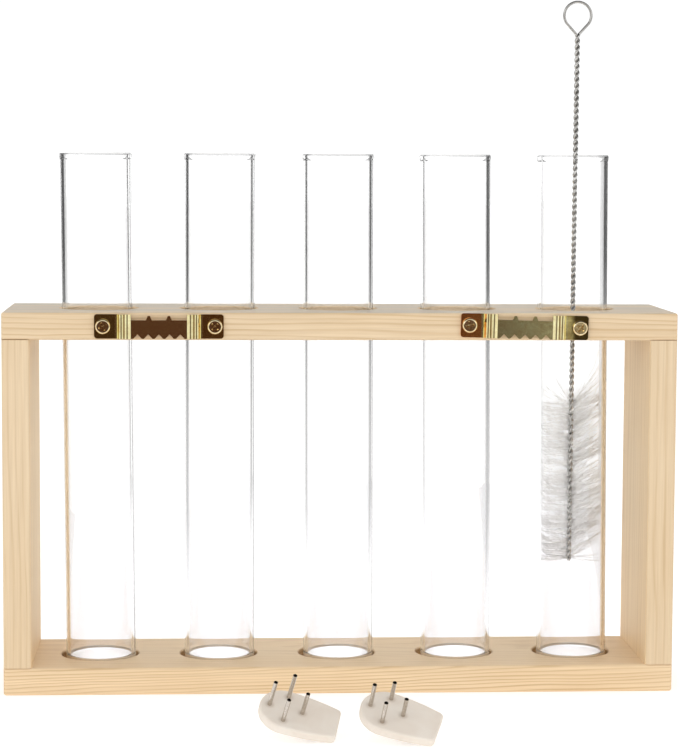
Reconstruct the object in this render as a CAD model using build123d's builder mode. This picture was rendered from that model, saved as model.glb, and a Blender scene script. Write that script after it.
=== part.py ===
from build123d import *

import os
from math import asin, cos, degrees, radians, sin

# Wooden rack for five flat-bottomed glass test tubes, with two sawtooth wall
# hangers, a twisted-wire tube brush standing in the last tube, and the two
# pinned wall hooks that the hangers hang from.
#
# Frame: the origin is the centre of the rack's base face. +X runs along the
# rack, +Z is up, and the hangers are on the -Y side. Millimetres.

# ---- driving dimensions: rack ----
rack_width = 235.0
rack_depth = 53.0
rack_height = 134.0
board = 9.6                      # thickness of all four boards
edge_ease = 0.9                  # rounding of the long board edges
rim_ease = 0.4                   # chamfer round the tube holes

tube_count = 5
tube_pitch = 42.5
tube_hole_diameter = 27.5
recess_depth = 3.0               # blind seat for each tube in the bottom rail

dowel_diameter = 5.0
dowel_into_rail = 6.0
dowel_into_post = 11.0
dowel_spacing = 28.0             # between the two dowels of one joint
dowel_end_gap = 0.4              # also the chamfer on a dowel's ends
glue_gap = 0.05                  # radial clearance of glued and screwed fits

# ---- driving dimensions: tubes ----
tube_diameter = 25.0
tube_length = 182.0
tube_wall = 1.3
tube_base = 2.4
tube_heel = 2.6                  # outer rounding of the flat bottom
tube_floor_round = 1.2
rim_bead = 0.25                  # how far the fire-polished rim stands out
rim_bead_height = 1.2
rim_bead_run = 1.0               # height over which the wall widens to the bead
rim_round = 0.58
seat_gap = 0.12
# Sideways shift at the base, and lean towards -X in degrees, tube by tube
tube_settle = [(0.4, 0.48), (0.3, 0.0), (0.6, 0.24), (0.6, 0.48), (0.3, 0.49)]

# ---- driving dimensions: hangers ----
hanger_length = 44.6
hanger_height = 8.4
hanger_sheet = 0.8
hanger_corner = 1.0
bend_radius = 0.42
hanger_screw_offset = 19.3
hanger_ridge = 2.6               # mid-sheet height of the two ridges above the wood
hanger_shelf = 1.9               # mid-sheet height of the raised toothed plate
groove_drop = 0.1                # how far the groove lies below the toothed plate
# Where the sheet bends, measured along the hanger from its middle
ear_bend = 14.2
outer_ridge = 13.1
groove = 12.0
inner_ridge = 10.9
shelf_bend = 9.8
shelf_half_length = 9.6
shelf_top = 2.2                  # toothed plate's top edge above the hanger's middle
tab_offset = 3.45
tab_width = 2.0
tab_height = 1.5
tab_slope = 68                   # degrees
tooth_count = 5
tooth_pitch = 3.67
tooth_half_width = 1.5
tooth_depth = 1.55
hangers = {"left_hanger": (-63.3, 129.2, 0.0), "right_hanger": (63.6, 129.3, 1.4)}

screw_head_diameter = 5.2
screw_head_height = 1.6
screw_head_round = 0.6
screw_shank_diameter = 2.0
screw_length = 9.2               # depth of its hole in the rail
screw_point = 2.0
screw_end_gap = 0.6              # between the screw's point and the end of its hole
screw_slack = 0.3                # radial, in the hanger's ear
cross_length = 3.0
cross_width = 0.75
cross_depth = 0.9
cross_taper = 16                 # degrees, the recess narrows inwards
cross_turn = {"left_hanger": (24, 45), "right_hanger": (12, 52)}

# ---- driving dimensions: brush ----
wire_diameter = 1.1
stem_diameter = 1.9
stem_foot = (84.13, 42.7)        # x, z of the stem's lower end
stem_head = (84.8, 231.6)        # x, z where the handle loop starts
loop_radius = 4.8
loop_centre_height = 7.2
loop_foot_offset = 0.4           # each end of the loop from the stem's axis
loop_foot_depth = 0.6            # how far the loop's ends run down into the stem
bristle_radius = 10.0
bristle_length = 61.0
bristle_start = 0.8              # above the stem's foot
bristle_round = 2.5

# ---- driving dimensions: wall hooks ----
hook_width = 17.2                # across the rounded end
hook_end_width = 12.4            # across the straight end
hook_straight = 17.8             # from the rounded end's centre to the straight end
hook_thickness = 3.5
hook_corner = 1.7
hook_rim_round = 0.7
lip_width = 6.4
lip_reach = 3.3                  # how far the lip stands out from the plate
lip_wall = 1.5
lip_root_wall = 2.2
lip_tip, lip_root = 5.4, 12.0    # the lip's two ends along the plate
lip_round = 0.6
lip_overlap = 1.0                # how deep the lip's root runs into the plate
pin_diameter = 1.4
# How far each hook's left, back, front and right pin stand out of its plate
pin_showing = {"wall_hook_1": (10.2, 10.2, 9.5, 9.1), "wall_hook_2": (9.7, 7.8, 9.0, 7.8)}
pin_embedded = 2.0
pin_root_diameter = 1.0          # thinner root moulded into the plate
pin_tip_ease = 0.25
pin_offset = 5.5                 # from the middle of the diamond of pins
# Where each hook lies in front of the rack: position, then rotation in degrees
wall_hooks = {
    "wall_hook_1": ((-21.4, -94.7, 10.30), (32.14, 10.98, -11.5)),
    "wall_hook_2": ((10.97, -98.0, 10.30), (33.70, 6.07, -19.0)),
}

# ---- worked out ----
front = -rack_depth / 2
post_height = rack_height - 2 * board
post_centre = rack_width / 2 - board / 2
top_rail_under = rack_height - board
tube_hole_radius = tube_hole_diameter / 2
dowel_places = [(sx, sy) for sx in ("left", "right") for sy in ("front", "back")]
side = {"left": -1, "right": 1, "front": -1, "back": 1}

os.makedirs("parts", exist_ok=True)


def keep(builder, label):
    builder.part.label = label
    export_step(builder.part, f"parts/{label}.step")


def hanger_plane(name):
    """Plane on the rack's front face, x along the hanger and z out of the wood."""
    x, z, tilt = hangers[name]
    along = (cos(radians(tilt)), 0, -sin(radians(tilt)))
    return Plane(origin=(x, front, z), x_dir=along, z_dir=(0, -1, 0))


def upright_plane(foot, lean):
    """Plane through a leaning axis, x along its radius and y up the axis."""
    across = (cos(radians(lean)), 0, sin(radians(lean)))
    return Plane(origin=foot, x_dir=across, z_dir=(0, -1, 0))


def axis_of(plane):
    return Axis(plane.origin, plane.y_dir)


# ---- boards ----
def cut_dowel_holes(face_height, amount, places):
    with BuildSketch(Plane.XY.offset(face_height)) as holes:
        with Locations(*places):
            Circle(dowel_diameter / 2 + glue_gap)
    extrude(holes.sketch, amount=amount, mode=Mode.SUBTRACT)


rail_dowel_places = [
    (side[sx] * post_centre, side[sy] * dowel_spacing / 2) for sx, sy in dowel_places
]

with BuildPart() as top_rail:
    with BuildSketch(Plane.XY.offset(top_rail_under)):
        Rectangle(rack_width, rack_depth)
    extrude(amount=board)
    upper_edges = top_rail.faces().sort_by(Axis.Z)[-1].edges()
    lower_long_edges = top_rail.faces().sort_by(Axis.Z)[0].edges().filter_by(Axis.X)
    upright_edges = top_rail.edges().filter_by(Axis.Z)
    fillet(upper_edges + lower_long_edges + upright_edges, radius=edge_ease)
    with BuildSketch(Plane.XY.offset(rack_height)):
        with GridLocations(tube_pitch, 1, tube_count, 1):
            Circle(tube_hole_radius)
    extrude(amount=-board, mode=Mode.SUBTRACT)
    chamfer(top_rail.edges().filter_by(GeomType.CIRCLE).filter_by(
        lambda edge: abs(edge.radius - tube_hole_radius) < glue_gap), length=rim_ease)
    cut_dowel_holes(top_rail_under, dowel_into_rail, rail_dowel_places)
    for name in hangers:
        with BuildSketch(hanger_plane(name)):
            with Locations((-hanger_screw_offset, 0), (hanger_screw_offset, 0)):
                Circle(screw_shank_diameter / 2 + glue_gap)
        extrude(amount=-screw_length, mode=Mode.SUBTRACT)
keep(top_rail, "top_rail")

with BuildPart() as bottom_rail:
    with BuildSketch():
        Rectangle(rack_width, rack_depth)
    extrude(amount=board)
    upper_long_edges = bottom_rail.faces().sort_by(Axis.Z)[-1].edges().filter_by(Axis.X)
    lower_edges = bottom_rail.faces().sort_by(Axis.Z)[0].edges()
    upright_edges = bottom_rail.edges().filter_by(Axis.Z)
    fillet(upper_long_edges + lower_edges + upright_edges, radius=edge_ease)
    with BuildSketch(Plane.XY.offset(board)):
        with GridLocations(tube_pitch, 1, tube_count, 1):
            Circle(tube_hole_radius)
    extrude(amount=-recess_depth, mode=Mode.SUBTRACT)
    chamfer(bottom_rail.faces().sort_by(Axis.Z)[-1].inner_wires().edges(), length=rim_ease)
    cut_dowel_holes(board, -dowel_into_rail, rail_dowel_places)
keep(bottom_rail, "bottom_rail")

for sx in ("left", "right"):
    with BuildPart() as post:
        with BuildSketch(Plane.XY.offset(board)):
            with Locations((side[sx] * post_centre, 0)):
                Rectangle(board, rack_depth)
        extrude(amount=post_height)
        fillet(post.edges().filter_by(Axis.Z), radius=edge_ease)
        post_dowel_places = [
            (side[sx] * post_centre, side[sy] * dowel_spacing / 2) for sy in ("front", "back")
        ]
        cut_dowel_holes(board, dowel_into_post, post_dowel_places)
        cut_dowel_holes(top_rail_under, -dowel_into_post, post_dowel_places)
    keep(post, f"{sx}_post")

# ---- hidden dowels, two in each corner joint ----
dowel_ends = {
    "top": (top_rail_under - dowel_into_post, top_rail_under + dowel_into_rail),
    "bottom": (board - dowel_into_rail, board + dowel_into_post),
}
for level, (low, high) in dowel_ends.items():
    for sx, sy in dowel_places:
        with BuildPart() as dowel:
            with BuildSketch(Plane.XY.offset(low + dowel_end_gap)):
                with Locations((side[sx] * post_centre, side[sy] * dowel_spacing / 2)):
                    Circle(dowel_diameter / 2)
            extrude(amount=high - low - 2 * dowel_end_gap)
            chamfer(dowel.edges(), length=dowel_end_gap)
        keep(dowel, f"dowel_{level}_{sx}_{sy}")

# ---- sawtooth hangers ----
half_length = hanger_length / 2
half_height = hanger_height / 2
sheet_middle = hanger_sheet / 2
# Half of the strip's middle line, from the ear's end to the toothed plate
strip_half = [
    (half_length, sheet_middle),
    (ear_bend, sheet_middle),
    (outer_ridge, hanger_ridge),
    (groove, hanger_shelf - groove_drop),
    (inner_ridge, hanger_ridge),
    (shelf_bend, hanger_shelf),
]
strip_line = [(-x, h) for x, h in strip_half] + strip_half[::-1]

for name in hangers:
    face_plane = hanger_plane(name)
    strip_plane = Plane(
        origin=face_plane.origin, x_dir=face_plane.x_dir, z_dir=-face_plane.y_dir)
    with BuildPart() as hanger:
        # bent strip, seen along its width
        with BuildSketch(strip_plane):
            with BuildLine():
                bent = FilletPolyline(*strip_line, radius=bend_radius)
                offset(bent, amount=sheet_middle, side=Side.BOTH, mode=Mode.REPLACE)
            make_face()
        extrude(amount=half_height, both=True)
        # outline of the strip, seen from the front
        with BuildSketch(face_plane):
            RectangleRounded(hanger_length, hanger_height, hanger_corner)
            with Locations((0, (shelf_top + half_height) / 2)):
                Rectangle(2 * shelf_half_length, half_height - shelf_top, mode=Mode.SUBTRACT)
            with Locations((-tab_offset, shelf_top), (tab_offset, shelf_top)):
                Trapezoid(tab_width, tab_height, tab_slope, align=(Align.CENTER, Align.MIN))
            with Locations((0, -half_height)):
                with GridLocations(tooth_pitch, 1, tooth_count, 1):
                    Polygon((-tooth_half_width, 0), (tooth_half_width, 0),
                            (0, tooth_depth), align=None, mode=Mode.SUBTRACT)
            with Locations((-hanger_screw_offset, 0), (hanger_screw_offset, 0)):
                Circle(screw_shank_diameter / 2 + screw_slack, mode=Mode.SUBTRACT)
        extrude(amount=2 * hanger_ridge, mode=Mode.INTERSECT)
    keep(hanger, name)

# ---- hanger screws ----
head_radius = screw_head_diameter / 2
shank_radius = screw_shank_diameter / 2
shank_end = hanger_sheet + screw_length - screw_end_gap
for name in hangers:
    for end, turn in zip((-1, 1), cross_turn[name]):
        ear_plane = hanger_plane(name).offset(hanger_sheet)
        seat = ear_plane.from_local_coords((end * hanger_screw_offset, 0, 0))
        with BuildPart() as screw:
            # half section: pan head outside the ear, shank and point in the wood
            with BuildSketch(Plane(origin=seat, x_dir=(1, 0, 0), z_dir=(0, 0, 1))):
                with BuildLine():
                    crown = Line((0, -screw_head_height),
                                 (head_radius - screw_head_round, -screw_head_height))
                    shoulder = JernArc(crown @ 1, (1, 0), screw_head_round, 90)
                    Polyline(
                        shoulder @ 1,
                        (head_radius, 0),
                        (shank_radius, 0),
                        (shank_radius, shank_end - screw_point),
                        (0, shank_end),
                        (0, -screw_head_height),
                    )
                make_face()
            revolve(axis=Axis(seat, (0, 1, 0)))
            cross_plane = Plane(origin=seat, x_dir=(1, 0, 0), z_dir=(0, -1, 0))
            with BuildSketch(cross_plane.offset(screw_head_height)):
                Rectangle(cross_length, cross_width, rotation=turn)
                Rectangle(cross_width, cross_length, rotation=turn)
            extrude(amount=-cross_depth, taper=cross_taper, mode=Mode.SUBTRACT)
        keep(screw, f"{name}_screw_{'left' if end < 0 else 'right'}")

# ---- glass tubes ----
outer = tube_diameter / 2
bore = outer - tube_wall
for index, (shift, lean) in enumerate(tube_settle):
    place = (index - (tube_count - 1) / 2) * tube_pitch + shift
    tube_plane = upright_plane((place, 0, board - recess_depth + seat_gap), lean)
    with BuildPart() as tube:
        with BuildSketch(tube_plane) as half_section:
            with BuildLine():
                Polyline(
                    (0, 0),
                    (outer, 0),
                    (outer, tube_length - rim_bead_height - rim_bead_run),
                    (outer + rim_bead, tube_length - rim_bead_height),
                    (outer + rim_bead, tube_length),
                    (bore, tube_length),
                    (bore, tube_base),
                    (0, tube_base),
                    (0, 0),
                )
            make_face()
            corners = half_section.vertices()
            rim_corners = corners.group_by(Axis.Y)[-1]
            heel = corners.sort_by_distance((outer, 0, 0))[0]
            floor_corner = corners.sort_by_distance((bore, tube_base, 0))[0]
            fillet(rim_corners, radius=rim_round)
            fillet(half_section.vertices().sort_by_distance(heel)[0], radius=tube_heel)
            fillet(half_section.vertices().sort_by_distance(floor_corner)[0],
                   radius=tube_floor_round)
        revolve(axis=axis_of(tube_plane))
    keep(tube, f"tube_{index + 1}")

# ---- tube brush ----
foot = Vector(stem_foot[0], 0, stem_foot[1])
head = Vector(stem_head[0], 0, stem_head[1])
stem = head - foot
brush_plane = Plane(
    origin=foot, x_dir=(stem.Z, 0, -stem.X), z_dir=(0, -1, 0))

with BuildPart() as brush_wire:
    with BuildSketch(Plane(origin=foot, x_dir=(0, 1, 0), z_dir=stem)):
        Circle(stem_diameter / 2)
    extrude(amount=stem.length)
    # teardrop handle loop, closed where both wires enter the twist
    tangent_height = loop_centre_height - loop_radius ** 2 / loop_centre_height
    tangent_side = (loop_radius ** 2 - (loop_centre_height - tangent_height) ** 2) ** 0.5
    twist_top = stem.length - loop_foot_depth
    with BuildLine(brush_plane) as loop_path:
        Line((loop_foot_offset, twist_top), (tangent_side, twist_top + tangent_height))
        ThreePointArc(
            (tangent_side, twist_top + tangent_height),
            (0, twist_top + loop_centre_height + loop_radius),
            (-tangent_side, twist_top + tangent_height),
        )
        Line((-tangent_side, twist_top + tangent_height), (-loop_foot_offset, twist_top))
    with BuildSketch(Plane(origin=loop_path.wires()[0] @ 0, z_dir=loop_path.wires()[0] % 0)):
        Circle(wire_diameter / 2)
    sweep(path=loop_path.wires()[0], transition=Transition.ROUND)
keep(brush_wire, "brush_wire")

with BuildPart() as brush_bristles:
    with BuildSketch(brush_plane):
        with Locations((stem_diameter / 2 + glue_gap, bristle_start)):
            Rectangle(bristle_radius - stem_diameter / 2 - glue_gap, bristle_length,
                      align=(Align.MIN, Align.MIN))
    revolve(axis=axis_of(brush_plane))
    outer_rims = brush_bristles.edges().filter_by(GeomType.CIRCLE).filter_by(
        lambda edge: edge.radius > stem_diameter)
    fillet(outer_rims, radius=bristle_round)
keep(brush_bristles, "brush_bristles")

# ---- wall hooks and their pins ----
pin_places = [(-pin_offset, 0), (0, pin_offset), (0, -pin_offset), (pin_offset, 0)]
half_width = hook_width / 2
# the long sides are shallow arcs that narrow towards the straight end
taper = (hook_width - hook_end_width) / 2
side_radius = (hook_straight ** 2 + taper ** 2) / (2 * taper)
side_angle = degrees(asin(hook_straight / side_radius))
plate_front = -hook_thickness
lip_front = plate_front - lip_reach
for name, (position, rotation) in wall_hooks.items():
    back_face = Plane(Location(position, rotation))
    lip_plane = Plane(
        origin=back_face.origin, x_dir=back_face.x_dir, z_dir=-back_face.y_dir)
    with BuildPart() as wall_hook:
        with BuildSketch(back_face) as outline:
            with BuildLine():
                lower_side = JernArc((0, -half_width), (1, 0), side_radius, side_angle)
                upper_side = JernArc((0, half_width), (1, 0), side_radius, -side_angle)
                Line(lower_side @ 1, upper_side @ 1)
                ThreePointArc((0, half_width), (-half_width, 0), (0, -half_width))
            make_face()
            fillet(outline.vertices().group_by(Axis.X)[-1], radius=hook_corner)
        extrude(amount=-hook_thickness)
        for depth in (0, plate_front):
            rim = wall_hook.faces().filter_by(GeomType.PLANE).sort_by_distance(
                back_face.from_local_coords((0, 0, depth)))[0].edges()
            fillet(rim, radius=hook_rim_round)
        # small lip on the front of the plate, open towards the rounded end
        with BuildSketch(lip_plane):
            with BuildLine():
                FilletPolyline(
                    (lip_root, plate_front + lip_overlap),
                    (lip_root, lip_front),
                    (lip_tip, lip_front),
                    (lip_tip, lip_front + lip_wall),
                    (lip_root - lip_root_wall, lip_front + lip_wall),
                    (lip_root - lip_root_wall, plate_front + lip_overlap),
                    radius=lip_round,
                )
                Line((lip_root - lip_root_wall, plate_front + lip_overlap),
                     (lip_root, plate_front + lip_overlap))
            make_face()
        extrude(amount=lip_width / 2, both=True)
        with BuildSketch(back_face):
            with Locations(*pin_places):
                Circle(pin_root_diameter / 2 + glue_gap)
        extrude(amount=-pin_embedded, mode=Mode.SUBTRACT)
    keep(wall_hook, name)

    for number, (place, showing) in enumerate(zip(pin_places, pin_showing[name]), start=1):
        with BuildPart() as pin:
            with BuildSketch(back_face):
                with Locations(place):
                    Circle(pin_root_diameter / 2)
            extrude(amount=-pin_embedded)
            with BuildSketch(back_face):
                with Locations(place):
                    Circle(pin_diameter / 2)
            extrude(amount=showing)
            far_end = pin.faces().filter_by(GeomType.PLANE).sort_by_distance(
                back_face.from_local_coords((*place, showing)))[0]
            chamfer(far_end.edges(), length=pin_tip_ease)
        keep(pin, f"{name}_pin_{number}")
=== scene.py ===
import math
import random

import bpy
from mathutils import Matrix, Vector


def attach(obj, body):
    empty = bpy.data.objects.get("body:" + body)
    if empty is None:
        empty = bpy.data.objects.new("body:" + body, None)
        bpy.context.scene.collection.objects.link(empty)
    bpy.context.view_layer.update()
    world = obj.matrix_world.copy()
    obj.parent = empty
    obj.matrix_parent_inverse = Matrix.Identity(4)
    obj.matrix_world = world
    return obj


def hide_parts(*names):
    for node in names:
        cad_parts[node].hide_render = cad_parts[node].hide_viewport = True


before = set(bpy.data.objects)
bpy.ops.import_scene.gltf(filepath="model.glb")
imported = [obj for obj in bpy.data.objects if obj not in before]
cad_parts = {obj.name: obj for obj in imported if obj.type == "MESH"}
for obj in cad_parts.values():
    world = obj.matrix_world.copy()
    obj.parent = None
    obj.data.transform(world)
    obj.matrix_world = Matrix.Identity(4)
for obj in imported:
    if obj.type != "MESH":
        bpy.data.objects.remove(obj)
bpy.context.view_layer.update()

MM = 0.001


# ---------------------------------------------------------------- node helpers
class Tree:
    """Short names for the nodes of one material, or of the world."""

    def __init__(self, name, kind="Material"):
        self.owner = (bpy.data.worlds if kind == "World" else bpy.data.materials).new(name)
        self.owner.use_nodes = True
        self.nt = self.owner.node_tree
        self.nt.nodes.clear()
        self.out = self.nt.nodes.new("ShaderNodeOutput" + kind)
        self.coord = self.nt.nodes.new("ShaderNodeTexCoord")

    def link(self, a, b):
        self.nt.links.new(a, b)

    def put(self, socket, value):
        if hasattr(value, "is_linked"):
            self.link(value, socket)
        else:
            socket.default_value = value

    def math(self, op, a, b=0.0, clamp=False):
        n = self.nt.nodes.new("ShaderNodeMath")
        n.operation = op
        n.use_clamp = clamp
        self.put(n.inputs[0], a)
        self.put(n.inputs[1], b)
        return n.outputs[0]

    def split(self, vector):
        n = self.nt.nodes.new("ShaderNodeSeparateXYZ")
        self.link(vector, n.inputs[0])
        return n.outputs[0], n.outputs[1], n.outputs[2]

    def join(self, x, y, z):
        n = self.nt.nodes.new("ShaderNodeCombineXYZ")
        for socket, value in zip(n.inputs, (x, y, z)):
            self.put(socket, value)
        return n.outputs[0]

    def vector(self, op, a, b):
        n = self.nt.nodes.new("ShaderNodeVectorMath")
        n.operation = op
        self.put(n.inputs[0], a)
        self.put(n.inputs[1], b)
        return n.outputs[0]

    def length(self, a):
        n = self.nt.nodes.new("ShaderNodeVectorMath")
        n.operation = "LENGTH"
        self.put(n.inputs[0], a)
        return n.outputs["Value"]

    def noise(self, vector, scale, detail=3.0, rough=0.5, distortion=0.0):
        n = self.nt.nodes.new("ShaderNodeTexNoise")
        self.link(vector, n.inputs["Vector"])
        n.inputs["Scale"].default_value = scale
        n.inputs["Detail"].default_value = detail
        n.inputs["Roughness"].default_value = rough
        n.inputs["Distortion"].default_value = distortion
        return n.outputs[0]

    def ramp(self, value, stops, ease="LINEAR"):
        n = self.nt.nodes.new("ShaderNodeValToRGB")
        n.color_ramp.interpolation = ease
        while len(n.color_ramp.elements) < len(stops):
            n.color_ramp.elements.new(0.5)
        for element, (at, colour) in zip(n.color_ramp.elements, stops):
            element.position = at
            if isinstance(colour, (int, float)):
                colour = (colour, colour, colour)
            element.color = (*colour, 1.0)
        self.link(value, n.inputs[0])
        return n.outputs[0]

    def span(self, value, a, b, c=0.0, d=1.0, smooth=False):
        n = self.nt.nodes.new("ShaderNodeMapRange")
        if smooth:
            n.interpolation_type = "SMOOTHSTEP"
        self.link(value, n.inputs[0])
        for socket, x in zip(n.inputs[1:5], (a, b, c, d)):
            socket.default_value = x
        return n.outputs[0]

    def mix(self, factor, a, b, kind="MIX"):
        n = self.nt.nodes.new("ShaderNodeMix")
        n.data_type = "RGBA"
        n.blend_type = kind
        self.put(n.inputs[0], factor)
        for socket, value in ((n.inputs[6], a), (n.inputs[7], b)):
            self.put(socket, value if hasattr(value, "is_linked") else (*value, 1.0))
        return n.outputs[2]

    def tinted(self, colour, tint):
        return self.mix(1.0, colour, tint, "MULTIPLY")

    def bump(self, height, strength, distance):
        n = self.nt.nodes.new("ShaderNodeBump")
        n.inputs["Strength"].default_value = strength
        n.inputs["Distance"].default_value = distance
        self.link(height, n.inputs["Height"])
        return n.outputs[0]

    def surface(self, **inputs):
        n = self.nt.nodes.new("ShaderNodeBsdfPrincipled")
        for key, value in inputs.items():
            socket = n.inputs[key.replace("_", " ")]
            if isinstance(value, tuple) and len(value) == 3:
                value = (*value, 1.0)
            self.put(socket, value)
        self.link(n.outputs[0], self.out.inputs[0])
        return self.owner


# ------------------------------------------------------------------- materials
def pine(name, grain, pith, drift, pitch, seed, light, dark, contrast, top=None, inner=0):
    """Planed pine. Growth rings lie round a far pith line that runs nearly along
    the grain, so each face cuts them as the saw did. Lengths in metres. pith is where
    that line crosses the board's middle, drift its slope, pitch the ring width."""
    t = Tree(name)
    x, y, z = t.split(t.coord.outputs["Object"])
    nx, ny, nz = t.split(t.coord.outputs["Normal"])
    u, v, w = {"X": (x, y, z), "Z": (z, y, x)}[grain]
    board = t.math("ADD", u, seed * 0.37)        # each piece is cut from another place

    def stretched(keep):
        """The place on the board, drawn out along the grain."""
        return t.join(t.math("MULTIPLY", board, keep), v, w)

    def wobble(vector, scale, size):
        return t.math("MULTIPLY", t.math("SUBTRACT", t.noise(vector, scale, 2.0), 0.5), size)

    slow = stretched(0.10)
    sway = t.math("ADD", wobble(slow, 90.0, 0.0042), wobble(stretched(0.30), 110.0, 0.0011))
    dv = t.math("SUBTRACT", t.math("ADD", v, t.math("MULTIPLY", u, drift[0])), pith[0])
    dw = t.math("SUBTRACT", t.math("ADD", w, t.math("MULTIPLY", u, drift[1])), pith[1])
    radius = t.math("SQRT", t.math("ADD", t.math("MULTIPLY", dv, dv),
                                   t.math("MULTIPLY", dw, dw)))
    radius = t.math("ADD", radius, sway)
    # ring width varies from year to year
    year = t.join(t.math("ADD", radius, seed * 0.11), 0.0, 0.0)
    uneven = t.math("MULTIPLY", t.math("SUBTRACT", t.noise(year, 210.0, 1.0), 0.5), 1.6)
    ring = t.math("FRACT", t.math("ADD", t.math("DIVIDE", radius, pitch), uneven))
    late = t.ramp(ring, [(0.0, 0.35), (0.07, 0.06), (0.35, 0.0), (0.66, 0.18),
                         (0.86, 0.9), (0.94, 1.0), (1.0, 0.4)], "EASE")
    # fibres: long fine streaks, and a slower drift of tone along the board
    streak = t.noise(stretched(0.022), 1500.0, 3.0, 0.6)
    broad = t.noise(t.join(t.math("MULTIPLY", t.math("ADD", u, seed), 0.05), v, w), 260.0, 2.0)
    cloud = t.noise(t.join(board, v, w), 22.0, 2.0)
    depth = t.math("MULTIPLY", late, t.span(t.noise(slow, 160.0, 2.0), 0.3, 0.7,
                                            0.45 * contrast, contrast))
    colour = t.mix(depth, light, dark)
    colour = t.mix(t.span(streak, 0.32, 0.68), t.tinted(colour, (0.93, 0.91, 0.88)),
                   t.tinted(colour, (1.03, 1.03, 1.03)))
    colour = t.mix(t.span(broad, 0.35, 0.65), t.tinted(colour, (0.955, 0.94, 0.915)), colour)
    colour = t.mix(t.span(cloud, 0.35, 0.7, 0.0, 0.55), colour,
                   t.tinted(colour, (0.97, 0.935, 0.88)))
    # faces that look up show their rings less
    level = t.span(nz, 0.7, 0.95, 0.0, 1.0, True)
    colour = t.mix(t.math("MULTIPLY", level, 0.6), colour, light)
    if top is not None:
        # a cool tint that stands in for the soft light from above
        patch = t.mix(t.span(t.noise(slow, 120.0, 2.0), 0.45, 0.62), top,
                      tuple(0.5 + 0.5 * c for c in top))
        colour = t.mix(level, colour, t.tinted(colour, patch))
    if inner:
        # a pale tint that stands in for light bounced between the posts
        bounced = t.span(t.math("MULTIPLY", nx, inner), 0.7, 0.95, 0.0, 1.0, True)
        colour = t.mix(bounced, colour, t.tinted(colour, (1.17, 1.14, 1.06)))
    # end grain drinks more and is darker
    end = t.span(t.math("ABSOLUTE", {"X": nx, "Z": nz}[grain]), 0.55, 0.9, 0.0, 1.0, True)
    speck = t.noise(t.coord.outputs["Object"], 2600.0, 2.0)
    ends = t.mix(t.span(speck, 0.35, 0.65), t.tinted(colour, (0.74, 0.66, 0.56)),
                 t.tinted(colour, (0.90, 0.85, 0.78)))
    colour = t.mix(end, colour, ends)
    height = t.math("ADD", t.math("MULTIPLY", streak, 0.7), t.math("MULTIPLY", late, 0.5))
    rough = t.math("ADD", t.span(streak, 0.3, 0.7, 0.50, 0.62),
                   t.math("MULTIPLY", end, 0.15))
    return t.surface(Base_Color=colour, Roughness=rough, IOR=1.45,
                     Normal=t.bump(height, 0.25, 0.00006))


# Along a hanger, from its middle: the flat middle, the ribbed bands and the ears
BAND_START = (9.4 * MM, 9.7 * MM)
BAND_END = (15.0 * MM, 15.2 * MM)
GROOVE_PLACE, GROOVE_HALF_WIDTH = 12.0 * MM, (0.28 * MM, 0.50 * MM)
EAR_EDGE = (16.0 * MM, 17.8 * MM)


def brass(name, light, dark, rough, seed, centre=None, left=None, middle=None, right=None,
          deep=None):
    """Brass plate with cloudy lacquer, fine rolling lines and small specks. On a hanger the
    grooves get painted shade. left, middle, right and deep are painted reflections on its left
    ear, middle, right ear and that ear's outer part: they stand for the dark room that real
    flats mirror."""
    t = Tree(name)
    x, y, z = t.split(t.coord.outputs["Object"])
    place = t.join(t.math("ADD", x, seed), y, z)
    cloud = t.noise(place, 420.0, 4.0, 0.6, 0.4)
    speck = t.noise(place, 2600.0, 2.0, 0.6)
    rolled = t.noise(t.join(t.math("MULTIPLY", x, 0.06), y, z), 2400.0, 2.0)
    colour = t.mix(t.span(cloud, 0.36, 0.66), dark, light)
    if centre is not None:
        along = t.math("SUBTRACT", x, centre)
        out = t.math("ABSOLUTE", along)
        # painted reflections of the dark room on the ears and the middle
        tone = t.mix(t.span(along, -BAND_END[1], -BAND_END[0]), left, middle)
        ear_reflection = t.mix(t.span(along, *EAR_EDGE), right, deep or right)
        tone = t.mix(t.span(along, *BAND_END), tone, ear_reflection)
        flat = t.math("MAXIMUM", t.span(out, *BAND_START, 1.0, 0.0), t.span(out, *BAND_END))
        colour = t.mix(flat, colour, t.tinted(colour, tone))
        # painted shade in the grooves
        groove = t.span(t.math("ABSOLUTE", t.math("SUBTRACT", out, GROOVE_PLACE)),
                        *GROOVE_HALF_WIDTH, 0.62, 0.0)
        colour = t.mix(groove, colour, (0.34, 0.22, 0.09))
    colour = t.mix(t.span(speck, 0.58, 0.72, 0.0, 0.55), colour,
                   t.tinted(colour, (0.60, 0.50, 0.42)))
    surface_rough = t.math("ADD", t.span(cloud, 0.3, 0.7, rough + 0.03, rough - 0.02),
                           t.span(rolled, 0.3, 0.7, -0.01, 0.02))
    return t.surface(Base_Color=colour, Metallic=1.0, Roughness=surface_rough,
                     Normal=t.bump(rolled, 0.12, 0.00003))


def steel(name, light, dark, rough):
    """Drawn wire: fine lengthwise scratches and a little oxide."""
    t = Tree(name)
    x, y, z = t.split(t.coord.outputs["Object"])
    drawn = t.noise(t.join(x, y, t.math("MULTIPLY", z, 0.08)), 3800.0, 2.0, 0.6)
    cloud = t.noise(t.coord.outputs["Object"], 300.0, 3.0)
    colour = t.mix(t.span(cloud, 0.35, 0.65), dark, light)
    colour = t.mix(t.span(drawn, 0.55, 0.75, 0.0, 0.4), colour, dark)
    return t.surface(Base_Color=colour, Metallic=1.0,
                     Roughness=t.span(drawn, 0.3, 0.7, rough - 0.05, rough + 0.10),
                     Normal=t.bump(drawn, 0.1, 0.00002))


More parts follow.
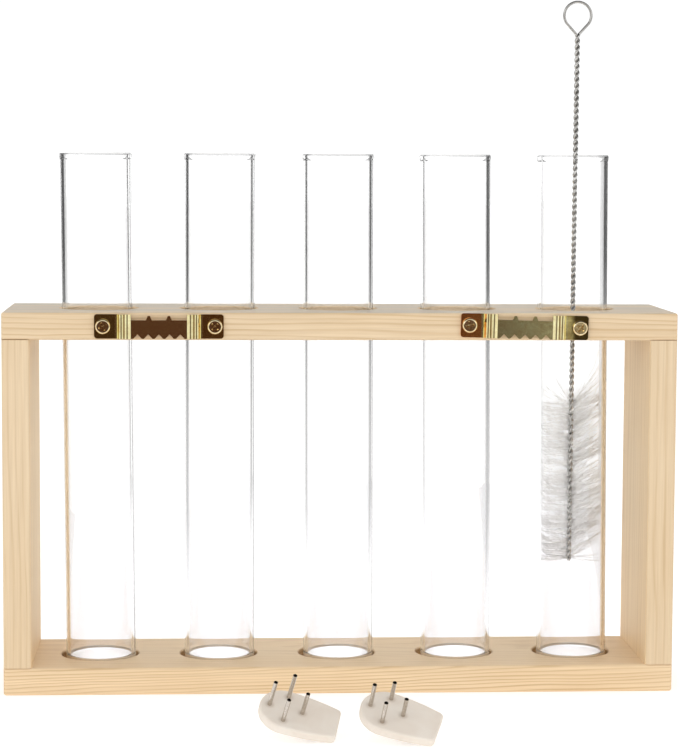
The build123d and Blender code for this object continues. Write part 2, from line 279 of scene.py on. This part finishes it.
def pin_steel(name, body, light, tip, rough, axis):
    """Nail steel with a dark cut end; axis is the way the pins point."""
    t = Tree(name)
    scratch = t.noise(t.coord.outputs["Object"], 1800.0, 3.0, 0.6)
    nx, ny, nz = t.split(t.coord.outputs["Normal"])
    facing = t.math("ADD", t.math("ADD", t.math("MULTIPLY", nx, axis[0]),
                                  t.math("MULTIPLY", ny, axis[1])),
                    t.math("MULTIPLY", nz, axis[2]))
    end = t.span(facing, 0.4, 0.6, 0.0, 1.0, True)
    colour = t.mix(t.span(scratch, 0.35, 0.65), body, light)
    colour = t.mix(end, colour, tip)
    return t.surface(Base_Color=colour, Metallic=1.0,
                     Roughness=t.span(scratch, 0.3, 0.7, rough - 0.05, rough + 0.1))


# The tubes as in the CAD, and where the milky floor, the heel's painted wood tone and the rim's
# painted dark line fade
TUBE_FOOT, TUBE_LENGTH = 6.72 * MM, 182.0 * MM
TUBE_TOP = TUBE_FOOT + TUBE_LENGTH
TUBE_PITCH = 42.5 * MM
MILKY_REACH, MILKY_TOP = (10.85 * MM, 10.95 * MM), (10.1 * MM, 10.3 * MM)
HEEL_REACH, HEEL_TOP = (11.6 * MM, 11.7 * MM), (9.8 * MM, 10.1 * MM)
RIM_BELOW_TOP = (0.75 * MM, 0.50 * MM)
WHITE = (1.0, 1.0, 1.0)


def glass(name, centre):
    """Clear glass, very slightly wavy. The flat floor inside is milky white and opaque, the heel
    is painted in the tone of the shaded wood seen through it, and the fire-polished rim carries
    a painted dark line, darker at the back than at the front."""
    t = Tree(name)
    x, y, z = t.split(t.coord.outputs["Object"])
    wave = t.noise(t.join(x, y, t.math("MULTIPLY", z, 0.12)), 60.0, 1.0)
    dx = t.math("SUBTRACT", x, centre)
    reach = t.math("SQRT", t.math("ADD", t.math("MULTIPLY", dx, dx), t.math("MULTIPLY", y, y)))
    milky = t.math("MULTIPLY", t.span(z, *MILKY_TOP, 1.0, 0.0),
                   t.span(reach, *MILKY_REACH, 1.0, 0.0))
    heel = t.math("MULTIPLY", t.span(z, *HEEL_TOP, 1.0, 0.0), t.span(reach, *HEEL_REACH))
    tint = t.mix(t.span(z, 25 * MM, 100 * MM, 0.0, 1.0, True), (0.968, 0.964, 0.974), WHITE)
    # painted dark line along the rim, darker at the back of the tube than at the front
    shade = t.mix(t.span(y, -4 * MM, 4 * MM), (0.66, 0.66, 0.66), (0.10, 0.10, 0.10))
    rim = t.span(z, TUBE_TOP - RIM_BELOW_TOP[0], TUBE_TOP - RIM_BELOW_TOP[1])
    tint = t.mix(rim, tint, shade)
    # painted tone of the shaded wood seen through the heel
    tint = t.mix(heel, tint, (0.74, 0.60, 0.43))
    tint = t.mix(milky, tint, WHITE)
    solid = t.math("MAXIMUM", milky, heel)
    smudge = t.noise(t.coord.outputs["Object"], 35.0, 3.0, 0.6)
    rough = t.math("ADD", t.span(smudge, 0.60, 0.80, 0.0, 0.012), t.math("MULTIPLY", solid, 0.5))
    return t.surface(Base_Color=tint, Roughness=rough, IOR=1.48,
                     Transmission_Weight=t.math("SUBTRACT", 1.0, solid),
                     Normal=t.bump(wave, 0.01, 0.0004))


# painted shadow round each pin base
PIN_SHADOW_RING = (0.6 * MM, 2.1 * MM)              # from where it is full to where it ends


def plastic(name, colour, warm, axis, pins):
    """Moulded off-white plastic with faint flow marks, a fine satin grain and a soft painted
    shadow round each pin."""
    t = Tree(name)
    grain = t.noise(t.coord.outputs["Object"], 3200.0, 2.0, 0.6)
    flow = t.noise(t.coord.outputs["Object"], 130.0, 3.0, 0.5, 0.6)
    tone = t.mix(t.span(flow, 0.35, 0.65), colour, warm)
    for pin in pins:
        gap = t.vector("SUBTRACT", t.coord.outputs["Object"], pin)
        away = t.length(t.vector("CROSS_PRODUCT", gap, axis))
        # painted shadow round the pin
        tone = t.mix(t.span(away, *PIN_SHADOW_RING, 0.85, 0.0, True), tone,
                     t.tinted(tone, (0.80, 0.76, 0.72)))
    return t.surface(Base_Color=tone, Roughness=t.span(grain, 0.3, 0.7, 0.34, 0.46),
                     IOR=1.5, Normal=t.bump(grain, 0.10, 0.00004))


def nylon():
    """Translucent white filament; each bunch is a slightly different white."""
    t = Tree("bristle_nylon")
    tone = t.noise(t.coord.outputs["Object"], 260.0, 3.0, 0.6)
    fine = t.noise(t.coord.outputs["Object"], 1800.0, 2.0)
    colour = t.mix(t.span(tone, 0.35, 0.65), (0.80, 0.775, 0.74), (0.955, 0.945, 0.93))
    colour = t.mix(t.span(fine, 0.4, 0.6, 0.0, 0.3), colour, (0.97, 0.97, 0.97))
    return t.surface(Base_Color=colour, Roughness=t.span(fine, 0.3, 0.7, 0.35, 0.5), IOR=1.53)


def dress(name, material):
    for slot in bpy.data.objects[name].material_slots:
        slot.material = material


# ------------------------------------------------------ materials on the CAD nodes
LIGHT_PINE = (0.77, 0.61, 0.415)
DARK_PINE = (0.56, 0.375, 0.185)
dress("top_rail", pine("pine_top_rail", "X", (0.030, 0.055), (0.000, 0.010), 0.0017, 1.0,
                       (0.785, 0.62, 0.42), DARK_PINE, 0.62, (0.79, 0.885, 1.07)))
dress("bottom_rail", pine("pine_bottom_rail", "X", (0.012, -0.060), (0.010, -0.026), 0.00108,
                          2.0, (0.86, 0.665, 0.435), (0.56, 0.36, 0.17), 0.80))
dress("left_post", pine("pine_left_post", "Z", (0.020, -0.190), (0.000, 0.004), 0.0019, 3.0,
                        LIGHT_PINE, DARK_PINE, 0.38, inner=1.0))
dress("right_post", pine("pine_right_post", "Z", (0.035, 0.170), (0.003, -0.003), 0.0022, 4.0,
                         LIGHT_PINE, DARK_PINE, 0.38, inner=-1.0))
beech = pine("dowel_beech", "Z", (0.3, 0.3), (0.0, 0.0), 0.0012, 5.0,
             (0.62, 0.45, 0.28), (0.50, 0.34, 0.20), 0.4)
PALE_BRASS, DEEP_BRASS = (0.93, 0.87, 0.50), (0.80, 0.68, 0.36)
# the hangers' ear and middle tints below are painted reflections of the dark room
sheet_brass = {
    "left_hanger": brass("left_hanger_brass", PALE_BRASS, DEEP_BRASS, 0.085, 0.0, -63.3 * MM,
                         (0.60, 0.52, 0.34), (0.98, 0.80, 0.75), (0.70, 0.53, 0.34)),
    "right_hanger": brass("right_hanger_brass", PALE_BRASS, DEEP_BRASS, 0.085, 1.0, 63.6 * MM,
                          (0.95, 0.48, 0.28), (0.84, 0.86, 0.88), (1.0, 0.95, 0.80),
                          (0.17, 0.13, 0.08)),
}
screw_brass = brass("screw_brass", (0.96, 0.84, 0.56), (0.66, 0.48, 0.26), 0.07, 0.5)
# Where the hooks lie, in millimetres and degrees, and their pins from the plate's middle
HOOKS = {"wall_hook_1": ((-21.4, -94.7, 10.30), (32.14, 10.98, -11.5)),
         "wall_hook_2": ((10.97, -98.0, 10.30), (33.70, 6.07, -19.0))}
PIN_OFFSET = 5.5
PIN_PLACES = ((-PIN_OFFSET, 0, 0), (0, PIN_OFFSET, 0), (0, -PIN_OFFSET, 0), (PIN_OFFSET, 0, 0))
TUBE_SHIFT = (0.4, 0.3, 0.6, 0.6, 0.3)       # each tube stands a little right of its pitch
tube_glass = {f"tube_{k + 1}": glass(f"tube_{k + 1}_glass", (k - 2) * TUBE_PITCH + shift * MM)
              for k, shift in enumerate(TUBE_SHIFT)}
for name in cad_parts:
    if name.startswith("dowel_"):
        dress(name, beech)
    elif "_screw_" in name:
        dress(name, screw_brass)
    elif name.endswith("_hanger"):
        dress(name, sheet_brass[name])
    elif name.startswith("tube_"):
        dress(name, tube_glass[name])
    elif name in ("wall_hook_1", "wall_hook_2"):
        place, turn = HOOKS[name]
        pose = (Matrix.Translation(Vector(place) * MM)
                @ Matrix.Rotation(math.radians(turn[0]), 4, "X")
                @ Matrix.Rotation(math.radians(turn[1]), 4, "Y")
                @ Matrix.Rotation(math.radians(turn[2]), 4, "Z"))
        n = pose.to_3x3() @ Vector((0, 0, 1))
        feet = [tuple(pose @ (Vector(p) * MM)) for p in PIN_PLACES]
        dress(name, plastic(name + "_plastic", (0.80, 0.73, 0.645), (0.765, 0.68, 0.59),
                            tuple(n), feet))
        nail = pin_steel(name + "_pin_steel", (0.50, 0.45, 0.40), (0.66, 0.61, 0.55),
                         (0.03, 0.025, 0.02), 0.16, tuple(n))
        for k in range(len(PIN_PLACES)):
            dress(f"{name}_pin_{k + 1}", nail)


# ----------------------------------------------------------------------- brush
FOOT = Vector((84.13, 0.0, 42.7)) * MM
HEAD = Vector((84.8, 0.0, 231.6)) * MM
UP = (HEAD - FOOT).normalized()
SIDE = Vector((UP.z, 0.0, -UP.x))
BACK = Vector((0.0, 1.0, 0.0))
STRAND_RADIUS, TWIST_PITCH = 0.475 * MM, 4.52 * MM
LOOP_RADIUS, LOOP_ABOVE_HEAD = 4.8 * MM, (7.2 - 0.6) * MM
TWIST_STEPS, LEG_STEPS, LOOP_STEPS = 760, 10, 64
WIRE_SIDES, BRISTLE_SIDES = 10, 3


def mesh_piece(name, verts, faces, body, material, slot, *nodes):
    mesh = bpy.data.meshes.new(name)
    mesh.from_pydata(verts, [], faces)
    mesh.polygons.foreach_set("use_smooth", [True] * len(faces))
    mesh.materials.append(material)
    mesh.update()
    piece = bpy.data.objects.new(name, mesh)
    bpy.context.scene.collection.objects.link(piece)
    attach(piece, body)
    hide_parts(*nodes)


def tube_mesh(points, radius, sides, verts, faces):
    """Round wire with closed ends along a line of points."""
    base = len(verts)
    tangents = []
    for i in range(len(points)):
        a, b = points[max(i - 1, 0)], points[min(i + 1, len(points) - 1)]
        tangents.append((b - a).normalized())
    normal = tangents[0].orthogonal().normalized()
    for point, tangent in zip(points, tangents):
        normal = (normal - tangent * normal.dot(tangent)).normalized()
        other = tangent.cross(normal)
        for k in range(sides):
            a = 2 * math.pi * k / sides
            verts.append(point + (normal * math.cos(a) + other * math.sin(a)) * radius)
    for i in range(len(points) - 1):
        for k in range(sides):
            a, b = base + i * sides + k, base + i * sides + (k + 1) % sides
            faces.append((a, b, b + sides, a + sides))
    last = base + (len(points) - 1) * sides
    faces.append(tuple(base + k for k in reversed(range(sides))))
    faces.append(tuple(last + k for k in range(sides)))


def wire_points():
    """One wire: up the twist, round the handle loop and down the twist again."""
    length = (HEAD - FOOT).length
    centre = length + LOOP_ABOVE_HEAD
    turn = math.acos(LOOP_RADIUS / (centre - length))    # where the legs meet the loop

    def helix(sign):
        run = []
        for i in range(TWIST_STEPS + 1):
            s = length * i / TWIST_STEPS
            a = 2 * math.pi * (s - length) / TWIST_PITCH
            run.append(FOOT + UP * s
                       + (SIDE * math.cos(a) + BACK * math.sin(a)) * STRAND_RADIUS * sign)
        return run

    def leg(sign):
        """Straight run from the twist's head to the loop."""
        across, up = LOOP_RADIUS * math.sin(turn), centre - LOOP_RADIUS * math.cos(turn)
        return [FOOT + SIDE * (sign * (STRAND_RADIUS + (across - STRAND_RADIUS) * i / LEG_STEPS))
                + UP * (length + (up - length) * i / LEG_STEPS) for i in range(1, LEG_STEPS)]

    loop = []
    first, last = -math.pi / 2 + turn, math.pi * 1.5 - turn
    for i in range(LOOP_STEPS + 1):
        a = first + (last - first) * i / LOOP_STEPS
        loop.append(FOOT + SIDE * (LOOP_RADIUS * math.cos(a))
                    + UP * (centre + LOOP_RADIUS * math.sin(a)))
    return helix(1) + leg(1) + loop + leg(-1)[::-1] + helix(-1)[::-1]


verts, faces = [], []
tube_mesh(wire_points(), STRAND_RADIUS, WIRE_SIDES, verts, faces)
mesh_piece("brush_twisted_wire", verts, faces, "brush",
           steel("brush_steel", (0.62, 0.61, 0.59), (0.42, 0.41, 0.39), 0.08),
           "brush_steel", "brush_wire")


def bristle_mesh():
    """Nylon filaments held in the twist. The tube's wall bends their tips."""
    rng = random.Random(11)
    lean = math.radians(0.49)                # of the fifth tube
    axis_foot = Vector((85.3, 0.0, 6.72)) * MM
    axis = Vector((-math.sin(lean), 0.0, math.cos(lean)))
    limit = 11.02 * MM                       # bristles bend inside this reach
    lowest = 0.35 * MM                       # above the stem's foot
    count, wisps, tuft = 2700, 90, 4
    start, length, row_pitch = 0.8, 56.6, 6.4            # in millimetres along the stem
    root, steps = 0.35, 4
    verts, faces = [], []
    for i in range(count + wisps):
        wisp = i >= count
        if i % tuft == 0 or wisp:
            h0 = start + length * rng.random()
            row = 2 * math.pi * h0 / row_pitch + (math.pi if rng.random() < 0.5 else 0.0)
            theta0 = row + rng.gauss(0.0, 0.55)
            if rng.random() < 0.35:
                theta0 = rng.uniform(0, 2 * math.pi)
            # fewer bristles point to the front, so the stem stays in sight
            if math.sin(theta0) < -0.5 and rng.random() < 0.7:
                theta0 = -theta0
            slope0 = 10 + 13 * math.cos(theta0) + rng.gauss(0, 4.5)
        h = min(max(h0 + rng.gauss(0, 0.22), start), start + length)
        theta = theta0 + rng.gauss(0.0, 0.09)
        slope = math.radians(slope0 + rng.gauss(0, 1.6))
        if wisp:
            # stray ones at the top and bottom ends
            h = start + length - 1.5 * rng.random() if i % 2 else start + 1.5 * rng.random()
            slope += math.radians(rng.uniform(8, 34)) * (1 if i % 2 else -1)
        reach = rng.gauss(11.4, 0.5)
        out = SIDE * math.cos(theta) + BACK * math.sin(theta)
        across = UP.cross(out)
        bend = rng.gauss(0.0, 0.035)
        curl = rng.gauss(0.02, 0.02)
        radius = rng.uniform(0.045, 0.08) * MM
        points = []
        for k in range(steps + 1):
            r = root + (reach - root) * k / steps
            p = (FOOT + UP * ((h + r * math.tan(slope) + curl * r * r * 0.25) * MM)
                 + out * (r * MM * math.cos(bend)) + across * (bend * r * r * 0.25 * MM))
            off = p - axis_foot
            off -= axis * off.dot(axis)
            if off.length > limit:
                over = off.length - limit
                p = p - off.normalized() * over + axis * over * 0.8
            # the lowest tips end above the stem's foot, so the brush can go right down
            sunk = lowest - (p - FOOT).dot(UP)
            if sunk > 0:
                p = p + UP * sunk
            points.append(p)
        tube_mesh(points, radius, BRISTLE_SIDES, verts, faces)
    return verts, faces


verts, faces = bristle_mesh()
mesh_piece("brush_nylon_bristles", verts, faces, "brush", nylon(),
           "bristle_nylon", "brush_bristles")


# --------------------------------------------------------------- floor and light
def stage_quad(name, corners, material):
    mesh = bpy.data.meshes.new(name)
    mesh.from_pydata(corners, [], [(0, 1, 2, 3)])
    mesh.materials.append(material)
    quad = bpy.data.objects.new(name, mesh)
    bpy.context.scene.collection.objects.link(quad)
    return quad


def floor_material():
    t = Tree("paper_floor")
    tone = t.noise(t.coord.outputs["Object"], 3.0, 2.0)
    colour = t.mix(t.span(tone, 0.3, 0.7), (0.80, 0.80, 0.80), (0.815, 0.81, 0.805))
    return t.surface(Base_Color=colour, Roughness=0.9, Specular_IOR_Level=0.1,
                     Emission_Color=(1.0, 1.0, 1.0), Emission_Strength=0.42)


FLOOR_HALF, FLOOR_FRONT, FLOOR_BACK = 7, -0.45, 9
stage_quad("floor", [(-FLOOR_HALF, FLOOR_FRONT, 0), (FLOOR_HALF, FLOOR_FRONT, 0),
                     (FLOOR_HALF, FLOOR_BACK, 0), (-FLOOR_HALF, FLOOR_BACK, 0)],
           floor_material())


def card(name, corners, tone):
    """Dark flat that only glass and metal see; for soft light it is as pale as the dome."""
    t = Tree(name + "_paper")
    rays = t.nt.nodes.new("ShaderNodeLightPath")
    n = t.nt.nodes.new("ShaderNodeEmission")
    x, _, z = t.split(t.coord.outputs["Object"])
    # light that has come through both walls of a tube sees a pale flat
    clear = t.span(rays.outputs["Transmission Depth"], 2.5, 3.5, 0.0, 0.75)
    pale = t.math("MAXIMUM", t.math("MINIMUM", rays.outputs["Diffuse Depth"], 1.0), clear)
    t.link(t.mix(pale, tone(t, x, z), WHITE), n.inputs[0])
    t.link(n.outputs[0], t.out.inputs[0])
    quad = stage_quad(name, corners, t.owner)
    quad.visible_camera = False
    quad.visible_diffuse = False
    quad.visible_shadow = False


def flat_tone(dark):
    return lambda t, x, z: t.ramp(t.span(z, 0.0, 0.13), [(0.0, 0.62), (0.45, 0.45), (1.0, dark)])


FLAT_HEIGHT = 1.2
RUNNER_EDGE, RUNNER_FRONT, RUNNER_Z = 0.16, 0.03, 0.0005


def runner_tone(t, x, z):
    return t.ramp(t.span(t.math("ABSOLUTE", x), RUNNER_EDGE, 0.30), [(0.0, 1.1), (1.0, 0.62)])


# studio flats beside the backdrop, and their runners on the floor: they edge the glass
for name, near, far, y, dark in (("flat_left", -0.226, -1.8, 0.40, 0.10),
                                 ("flat_right", 0.270, 1.8, 0.50, 0.12)):
    card(name, [(near, y, 0.0), (far, y, 0.0), (far, y, FLAT_HEIGHT), (near, y, FLAT_HEIGHT)],
         flat_tone(dark))
    edge = math.copysign(RUNNER_EDGE, far)
    card(name + "_runner", [(edge, RUNNER_FRONT, RUNNER_Z), (far, RUNNER_FRONT, RUNNER_Z),
                            (far, y, RUNNER_Z), (edge, y, RUNNER_Z)], runner_tone)


SOFTBOX_SIDE = 0.8
SOFTBOX_AIM = Vector((0, 0, 0.1))


def soft_light(name, place, power):
    lamp = bpy.data.lights.new(name, "AREA")
    lamp.shape = "RECTANGLE"
    lamp.size = lamp.size_y = SOFTBOX_SIDE
    lamp.energy = power
    thing = bpy.data.objects.new(name, lamp)
    bpy.context.scene.collection.objects.link(thing)
    thing.location = place
    way = SOFTBOX_AIM - Vector(place)
    thing.rotation_euler = way.to_track_quat("-Z", "Y").to_euler()
    thing.visible_camera = False


soft_light("softbox_left", (-1.1, -1.2, 0.75), 1.6)
soft_light("softbox_right", (1.1, -1.2, 0.75), 0.9)

DOME_SIDE, DOME_TOP = 1.10, 0.86
BACKDROP, THROUGH_GLASS, WOOD_LIT_THROUGH_GLASS = 1.05, 1.32, 4.2
DARK_CEILING = (0.10, 0.10, 0.10)


def studio_world():
    """White studio. Glass and metal also see a dark room in front and a dark ceiling."""
    w = Tree("studio", "World")
    rays = w.nt.nodes.new("ShaderNodeLightPath")
    wx, wy, wz = w.split(w.coord.outputs["Generated"])
    steepness = w.math("ABSOLUTE", wz)
    # soft dome: brightest near the horizon
    dome = w.math("SUBTRACT", DOME_SIDE, w.math("MULTIPLY", steepness, DOME_SIDE - DOME_TOP))
    # the unlit room in front of the rack, seen only in reflections
    ahead = w.math("MULTIPLY", wy, -1.0)
    azimuth = w.math("ARCTAN2", wx, ahead)
    room = w.ramp(w.math("ADD", azimuth, 0.5, True),
                  [(0.0, (0.42, 0.39, 0.36)), (0.34, (0.13, 0.08, 0.055)),
                   (0.42, (0.085, 0.045, 0.028)), (0.56, (0.095, 0.045, 0.027)),
                   (0.613, (0.12, 0.055, 0.035)), (0.620, (0.17, 0.165, 0.14)),
                   (0.642, (0.21, 0.20, 0.17)), (0.647, (0.95, 0.90, 0.78)),
                   (0.651, (0.80, 0.72, 0.55)), (0.656, (0.13, 0.11, 0.07)),
                   (1.0, (0.50, 0.48, 0.45))])
    # it opens into the white studio to the sides and above
    turned = w.math("ARCCOSINE", ahead)
    seen = w.mix(w.span(turned, 0.42, 1.0, smooth=True), room, WHITE)
    seen = w.mix(w.span(wz, 0.005, 0.06, smooth=True), seen, WHITE)
    # steep directions meet the dark ceiling; it draws the rims of the glass and the wire
    steep = w.span(steepness, 0.45, 0.65, smooth=True)
    seen = w.mix(steep, seen, DARK_CEILING)
    through = w.mix(steep, (THROUGH_GLASS,) * 3, DARK_CEILING)
    # light that reaches wood through glass is raised, or the tubes would dim it too much
    lit = w.math("MINIMUM", rays.outputs["Diffuse Depth"], 1.0)
    through = w.mix(lit, through, (WOOD_LIT_THROUGH_GLASS,) * 3)
    sky = w.mix(rays.outputs["Is Glossy Ray"], dome, seen)
    sky = w.mix(rays.outputs["Is Transmission Ray"], sky, through)
    sky = w.mix(rays.outputs["Is Camera Ray"], sky, (BACKDROP,) * 3)
    glow = w.nt.nodes.new("ShaderNodeBackground")
    w.link(sky, glow.inputs[0])
    w.link(glow.outputs[0], w.out.inputs[0])
    return w.owner


bpy.context.scene.world = studio_world()

# ---------------------------------------------------------------------- camera
lens = bpy.data.cameras.new("camera")
lens.sensor_fit = "VERTICAL"
lens.sensor_height = 36.0
lens.lens = 117.76
lens.clip_start = 0.05
lens.clip_end = 40.0
camera = bpy.data.objects.new("camera", lens)
bpy.context.scene.collection.objects.link(camera)
pitch, yaw, roll = 0.08835, 0.05608, -0.005156
camera.matrix_world = (Matrix.Translation((-0.04824, -0.87126, 0.18763))
                       @ Matrix.Rotation(-yaw, 4, "Z")
                       @ Matrix.Rotation(math.pi / 2 - pitch, 4, "X")
                       @ Matrix.Rotation(-roll, 4, "Z"))
bpy.context.scene.camera = camera
bpy.context.scene.view_settings.view_transform = "Standard"
bpy.context.scene.view_settings.look = "None"

bpy.context.view_layer.update()
